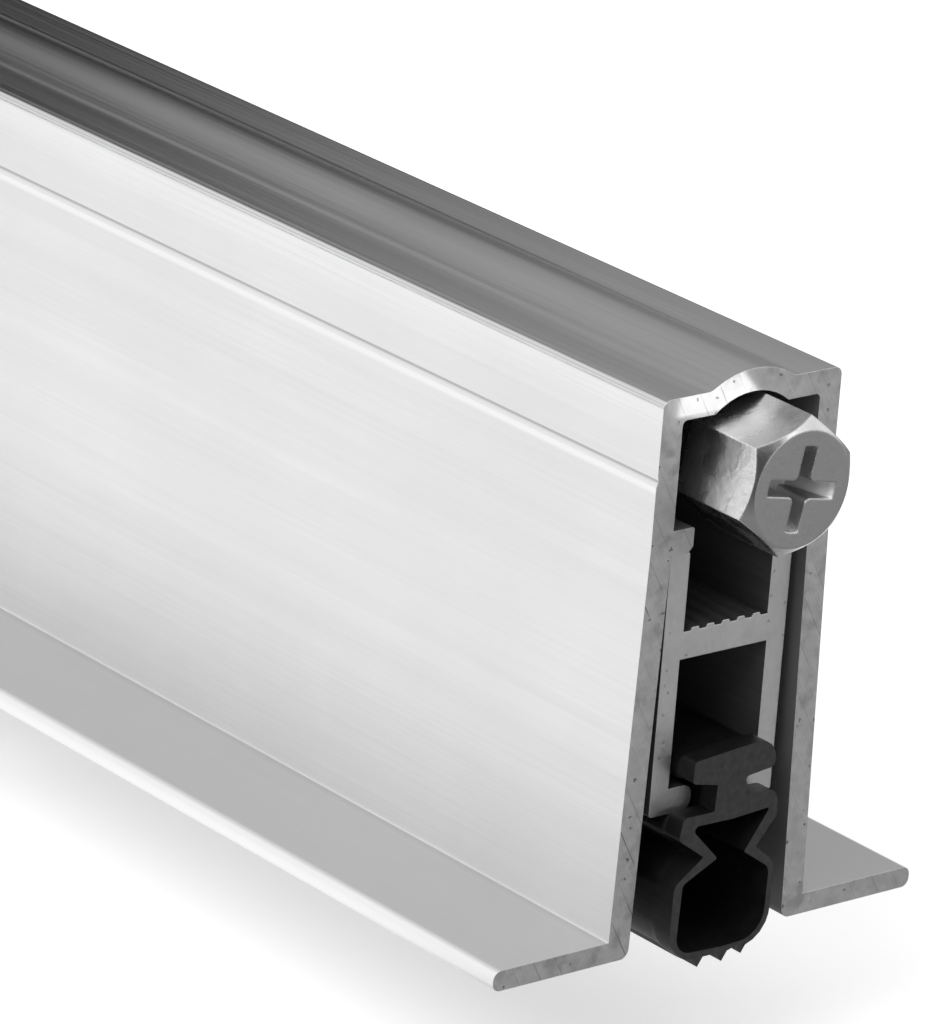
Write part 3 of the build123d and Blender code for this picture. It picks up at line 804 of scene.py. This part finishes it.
class DOORSEAL_OT_seal(Operator):
    """Extrude the rubber seal, with its free end swelling out of the bar's lips"""

    bl_idname = "doorseal.seal"
    bl_label = "Rubber Seal"

    def execute(self, context):
        size = context.scene.seal_rubber
        low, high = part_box("seal_strip")
        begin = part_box("drop_bar")[1].x + 0.05 * MM
        held_steps, free_steps = 40, 8
        stations = [low.x + (begin - low.x) * n / held_steps for n in range(held_steps + 1)]
        stations += [begin + size.relaxed_length * n / free_steps for n in range(1, free_steps + 1)]
        stations.append(high.x)
        points, faces, sizes = [], [], []
        for x in stations:
            share = min(max((x - begin) / size.relaxed_length, 0), 1)
            share = share * share * (3 - 2 * share)
            outer, chamber = self.section(share, size.arc_steps)
            sizes = [len(outer), len(chamber)]
            points += [Vector((x, y * MM, z * MM)) for y, z in outer + chamber]
        total = sum(sizes)
        for station in range(len(stations) - 1):
            first, second = station * total, (station + 1) * total
            for start, count in ((0, sizes[0]), (sizes[0], sizes[1])):
                for n in range(count):
                    a, b = start + n, start + (n + 1) % count
                    faces.append((first + a, first + b, second + b, second + a))
        piece = mesh_piece("seal_rubber", points, faces, 35, (low.x, high.x))
        finished(piece, "bar", black_rubber("Black rubber"), "seal_strip", slot="black_rubber")
        return {"FINISHED"}

    def section(self, share, steps):
        """The seal's outline with its ribs, and its chamber, from held at nought to free at one."""
        outer, foot_level = self.loop(SEAL_OUTER, share, steps), -2.15
        foot = outer.index(min(outer, key=lambda point: abs(point.x) + 10 * abs(point.y - foot_level)))
        ribs = []
        for held, free in SEAL_RIBS:
            tip = Vector(held).lerp(Vector(free), share)
            level = tip.y + RIB_HEIGHT - 0.1 * share
            ribs += [Vector((tip.x + RIB_HALF, level)), tip, Vector((tip.x - RIB_HALF, level))]
        return outer[:foot] + ribs + outer[foot + 1:], self.loop(SEAL_CHAMBER, share, steps)

    def loop(self, corners, share, steps):
        """Both halves of an outline, between held and free."""
        halves = []
        for side, sign in ((1, 1), (2, -1)):
            held = rounded([(sign * y, z, radius) for (y, z, radius), *rest in corners], steps)
            free = rounded([corner[side] or corner[1] for corner in corners], steps)
            halves.append([a.lerp(b, share) for a, b in zip(held, free)])
        return halves[0] + halves[1][-2:0:-1]


class DOORSEAL_OT_adjusting_screw(Operator):
    """Finish the adjusting screw in bright zinc"""

    bl_idname = "doorseal.adjusting_screw"
    bl_label = "Adjusting Screw"

    def execute(self, context):
        dress("adjusting_screw", zinc_plate("Zinc plate"))
        return {"FINISHED"}


class DOORSEAL_OT_plunger(Operator):
    """Finish the rod, strip, shoes, pins and blocks"""

    bl_idname = "doorseal.plunger"
    bl_label = "Plunger and Blocks"

    def execute(self, context):
        steel = plain_metal("Plain steel", tuple(context.scene.seal_steel.hardware), 0.3, 1.0 * MM)
        nylon = moulded_nylon("Nylon")
        steel_kinds = ("plunger_rod", "push_strip", "shoe_", "spring_saddle")
        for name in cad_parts:
            if name.startswith(("anchor_block", "plunger_guide")):
                dress(name, nylon)
            elif name.startswith(steel_kinds) or "pin" in name:
                dress(name, steel)
        return {"FINISHED"}


class DOORSEAL_OT_rivets(Operator):
    """Turn the domed rivets that hold the shoes and saddles"""

    bl_idname = "doorseal.rivets"
    bl_label = "Rivets"

    def execute(self, context):
        size = context.scene.seal_rivets
        steel = bpy.data.materials["Plain steel"]
        half, shank, rise = size.head / 2, size.shank / 2, size.rise
        angles = [math.radians(10 * n) for n in range(9)]
        dome = [(half * math.cos(a), rise * math.sin(a)) for a in angles]
        for number in (1, 2):
            for kind, body in (("shoe_rivet", "plunger"), ("saddle_rivet", "bar")):
                name = f"{kind}_{number}"
                low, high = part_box(name)
                centre = Vector(((low.x + high.x) / 2, (low.y + high.y) / 2, 0))
                top = high.z - rise
                if kind == "saddle_rivet":
                    base = low.z + rise
                    lower = [(r, base - h) for r, h in reversed(dome)] + [(shank, base)]
                else:
                    bevel = 0.2 * MM
                    lower = [(shank * 0.85, low.z), (shank, low.z + bevel)]
                profile = lower + [(shank, top)] + [(r, top + h) for r, h in dome]
                piece = turned(f"{name}_domed", profile, centre, size.steps)
                finished(piece, body, steel, name, slot="plain_steel")
        return {"FINISHED"}


class DOORSEAL_OT_bow_springs(Operator):
    """Bend the bow springs into leaves, the one with the moving eye riding with the plunger"""

    bl_idname = "doorseal.bow_springs"
    bl_label = "Bow Springs"

    def execute(self, context):
        size = context.scene.seal_springs
        blued = plain_metal("Spring steel", tuple(context.scene.seal_steel.spring), 0.3, 2.0 * MM)
        seat_steps, bow_steps, eye_steps = 6, 60, 48
        for number in (1, 2):
            node_name = f"bow_spring_{number}"
            low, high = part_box(node_name)
            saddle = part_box(f"spring_saddle_{number}")
            pins = [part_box(f"{side}_eye_pin_{number}") for side in ("anchor", "shoe")]
            eyes = [(pin[0] + pin[1]) / 2 for pin in pins]
            middle = (saddle[0].x + saddle[1].x) / 2
            pin_radius = (pins[0][1].z - pins[0][0].z) / 2
            eye_radius = pin_radius + size.eye_play + size.thickness / 2
            level = saddle[1].z + size.thickness / 2
            origin, half_width = (middle, level), (high.y - low.y) / 2

            # One leg from the saddle's middle: the seat, an arc that meets the eye, and the eye
            half_seat = size.seat / 2
            span, rise = eyes[1].x - middle, eyes[1].z - level
            run = span - half_seat
            bend = (run**2 + rise**2 - eye_radius**2) / (2 * (rise - eye_radius))
            turn = math.atan2(run, bend - rise)
            leg = [(half_seat * n / seat_steps, 0.0) for n in range(seat_steps)]
            for n in range(bow_steps + 1):
                angle = turn * n / bow_steps
                leg.append((half_seat + bend * math.sin(angle), bend * (1 - math.cos(angle))))
            eye = []
            for n in range(eye_steps + 1):
                angle = turn - math.pi / 2 + size.eye_angle * n / eye_steps
                eye.append((span + eye_radius * math.cos(angle), rise + eye_radius * math.sin(angle)))
            tail_start = span - size.tail
            under_tail = [point for point in leg if point[0] < tail_start + 1 * MM]
            tail = [point for point in leg if point[0] > tail_start]
            paths = {"anchor": [(-x, z) for x, z in leg + eye], "shoe": under_tail, "eye": tail + eye}
            anchor, shoe, moving = (
                self.leaf(f"bow_leaf_{side}_{number}", path, origin, half_width, size.thickness)
                for side, path in paths.items()
            )

            finished(moving, "plunger", blued, slot="spring_steel")
            for piece, eye_place in ((anchor, eyes[0]), (shoe, eyes[1])):
                finished(piece, None, blued, slot="spring_steel")
                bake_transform(piece)
            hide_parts(node_name)
        return {"FINISHED"}

    def leaf(self, name, path, origin, half_width, thickness):
        """A strip of spring steel along a path of (x, z) points, measured from an origin (x, z)."""
        points, faces = [], []
        for n, (x, z) in enumerate(path):
            before, after = path[max(n - 1, 0)], path[min(n + 1, len(path) - 1)]
            along = Vector((after[0] - before[0], after[1] - before[1])).normalized()
            across = Vector((-along.y, along.x)) * thickness / 2
            for side in (1, -1):
                for y in (half_width, -half_width):
                    place = (origin[0] + x + across.x * side, y, origin[1] + z + across.y * side)
                    points.append(Vector(place))
        for n in range(len(path) - 1):
            a, b = n * 4, (n + 1) * 4
            for first, second in ((0, 1), (1, 3), (3, 2), (2, 0)):
                faces.append((a + first, a + second, b + second, b + first))
        last = (len(path) - 1) * 4
        faces += [(0, 2, 3, 1), (last, last + 1, last + 3, last + 2)]
        return mesh_piece(name, points, faces, 30)


class DOORSEAL_OT_stage(Operator):
    """Set the floor, lamp, surroundings and camera"""

    bl_idname = "doorseal.stage"
    bl_label = "Stage"

    def execute(self, context):
        size = context.scene.seal_stage
        scene = context.scene
        scene.view_settings.view_transform = "Standard"
        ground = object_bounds()[0].z - size.floor_gap

        reach = 30
        corners = [(x * reach, y * reach, ground) for x, y in ((-1, -1), (1, -1), (1, 1), (-1, 1))]
        floor = mesh_piece("floor", corners, [(0, 1, 2, 3)])
        floor.data.materials.append(self.paper(size.floor_colour))
        floor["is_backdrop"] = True

        key = bpy.data.lights.new("key", "AREA")
        key.shape, key.size, key.energy = "DISK", 1.2, size.key_power
        lamp = bpy.data.objects.new("key", key)
        lamp.location = (0.45, -1.1, 1.25)
        target = Vector((0.1, 0, 0.02))
        lamp.rotation_euler = (target - lamp.location).to_track_quat("-Z", "Y").to_euler()
        scene.collection.objects.link(lamp)

        self.surroundings(scene, size.ambient)

        camera = bpy.data.cameras.new("camera")
        camera.lens, camera.sensor_width = size.lens, 36.0
        camera.clip_start, camera.clip_end = 0.01, 100.0
        viewpoint = bpy.data.objects.new("camera", camera)
        viewpoint.location = size.camera_place
        viewpoint.rotation_euler = Euler(size.camera_turn)
        scene.collection.objects.link(viewpoint)
        scene.camera = viewpoint
        return {"FINISHED"}

    def paper(self, colour):
        """Paper that keeps shadows, stays white to the camera, and dims to the right in reflections."""
        material = bpy.data.materials.new("Paper floor")
        material.use_nodes = True
        tree = material.node_tree
        tree.nodes.clear()
        path = node(tree, "LightPath").outputs
        space = node(tree, "NewGeometry").outputs
        axes = split(tree, space["Position"])

        # Painted pool of light that only reflections see: the floor's glow is bright near the object at the
        # left and front, and dim beyond it
        left = ranged(tree, axes["X"], 0.14, 0.18, 1.0, 0.0, smooth=True)
        front = ranged(tree, axes["Y"], 0.1, 0.17, 1.0, 0.0, smooth=True)
        away = vector_maths(tree, "LENGTH", space["Position"], result="Value")
        close = ranged(tree, away, 0.6, 0.9, 1.0, 0.0, smooth=True)
        strip_inside = ranged(tree, axes["Y"], -0.094, -0.031, 1.03, 1.0)
        strip_outside = ranged(tree, axes["Y"], -0.22, -0.12, 0.84, 1.0)
        lit = times(tree, strip_inside, strip_outside)
        dim = ranged(tree, plus(tree, axes["X"], axes["Y"]), 0.21, 0.4, 0.2, 0.24)
        strength = mixed(tree, times(tree, left, front, close), dim, lit, "FLOAT")

        matt = node(tree, "BsdfDiffuse", {"Color": (*colour, 1)}).outputs[0]
        seen = self.glow(tree, "Emission", 0.5)
        mirrored = self.glow(tree, "Emission", strength)
        seen = node(tree, "AddShader", {0: matt, 1: seen}).outputs[0]
        surface = self.either(tree, path["Is Glossy Ray"], matt, mirrored)
        surface = self.either(tree, path["Is Camera Ray"], surface, seen)
        clear = node(tree, "BsdfTransparent").outputs[0]
        surface = self.either(tree, space["Backfacing"], surface, clear)
        node(tree, "OutputMaterial", {"Surface": surface})
        return material

    def surroundings(self, scene, ambient):
        """White backdrop, soft light from all round, and a studio for the metal to mirror."""
        world = bpy.data.worlds.new("Studio")
        world.use_nodes = True
        scene.world = world
        tree = world.node_tree
        tree.nodes.clear()
        path = node(tree, "LightPath").outputs
        ray = node(tree, "TexCoord").outputs["Generated"]
        axes = split(tree, ray)

        # Behind the object: a grey wall that turns to a window on the right, a dim side wall on the left, and
        # a small softbox that only the painted highlight patch of the crown mirrors
        rise = times(tree, axes["Z"], plus(tree, times(tree, axes["Z"], 1.35), 0.1))
        to_right = plus(tree, axes["X"], axes["Y"], rise)
        wall = ranged(tree, to_right, -0.07, 0.09, 0.0, 0.33, smooth=True)
        side_wall = ranged(tree, to_right, -0.16, -0.34, 0.0, 0.2, smooth=True)
        window = ranged(tree, to_right, 0.22, 1.1, 0.0, 0.46)
        to_softbox = vector_maths(tree, "DOT_PRODUCT", ray, (0.822, 0.375, 0.427), "Value")
        softbox = ranged(tree, to_softbox, 0.9, 0.95, 0.0, 0.5, smooth=True)
        behind = plus(tree, wall, side_wall, plus(tree, window, softbox))

        # In front: bright, with a darker band above the horizon and dark beside the camera
        band_foot = ranged(tree, axes["Z"], 0.22, 0.32, 0.0, 0.33, smooth=True)
        band_top = ranged(tree, axes["Z"], 0.37, 0.5, 0.0, 0.3, smooth=True)
        front = plus(tree, minus(tree, 0.9, band_foot), band_top)
        beside_camera = ranged(tree, axes["X"], 0.35, 0.6, 0.0, 0.9, smooth=True)
        front = mixed(tree, beside_camera, front, 0.1, "FLOAT")

        facing = ranged(tree, axes["Y"], 0.05, -0.35, smooth=True)
        overhead = ranged(tree, axes["Z"], 0.72, 0.95, smooth=True)
        around = mixed(tree, facing, behind, front, "FLOAT")
        strength = mixed(tree, overhead, around, 1.15, "FLOAT")

        glossy = maths(tree, "MAXIMUM", path["Is Glossy Ray"], path["Is Transmission Ray"])
        soft, mirror, white = (self.glow(tree, "Background", s) for s in (ambient, strength, 1.0))
        surface = self.either(tree, glossy, soft, mirror)
        surface = self.either(tree, path["Is Camera Ray"], surface, white)
        node(tree, "OutputWorld", {"Surface": surface})

    def glow(self, tree, kind, strength):
        """A white emission or background of the given strength."""
        return node(tree, kind, {"Color": (*WHITE, 1), "Strength": strength}).outputs[0]

    def either(self, tree, share, first, second):
        """The shader between first and second."""
        return node(tree, "MixShader", {0: share, 1: first, 2: second}).outputs[0]


class DOORSEAL_PT_panel(Panel):
    """The door seal's settings, pieces and stage"""

    bl_label = "Door Seal"
    bl_idname = "DOORSEAL_PT_panel"
    bl_space_type = "VIEW_3D"
    bl_region_type = "UI"
    bl_category = "Door Seal"

    def draw(self, context):
        layout = self.layout
        for group in SETTINGS:
            box = layout.box()
            settings = getattr(context.scene, group)
            for name in settings.__annotations__:
                box.prop(settings, name)
        for step in STEPS:
            layout.operator(step.bl_idname)


SETTINGS = {
    "seal_aluminium": AluminiumFinish,
    "seal_steel": SteelFinish,
    "seal_rubber": SealShape,
    "seal_springs": SpringShape,
    "seal_rivets": RivetShape,
    "seal_stage": StudioStage,
}
STEPS = (
    DOORSEAL_OT_effects,
    DOORSEAL_OT_housing,
    DOORSEAL_OT_drop_bar,
    DOORSEAL_OT_seal,
    DOORSEAL_OT_adjusting_screw,
    DOORSEAL_OT_plunger,
    DOORSEAL_OT_rivets,
    DOORSEAL_OT_bow_springs,
    DOORSEAL_OT_stage,
)


def register():
    """Registers the settings, the operators and the panel."""
    for group in SETTINGS.values():
        bpy.utils.register_class(group)
    for name, group in SETTINGS.items():
        setattr(bpy.types.Scene, name, PointerProperty(type=group))
    for step in STEPS:
        bpy.utils.register_class(step)
    bpy.utils.register_class(DOORSEAL_PT_panel)


def unregister():
    """Takes the panel, the operators and the settings away."""
    bpy.utils.unregister_class(DOORSEAL_PT_panel)
    for step in reversed(STEPS):
        bpy.utils.unregister_class(step)
    for name, group in SETTINGS.items():
        delattr(bpy.types.Scene, name)
        bpy.utils.unregister_class(group)


def main():
    """Builds every piece and the stage."""
    register()
    for step in STEPS:
        category, action = step.bl_idname.split(".")
        getattr(getattr(bpy.ops, category), action)()


if __name__ == "__main__":
    main()
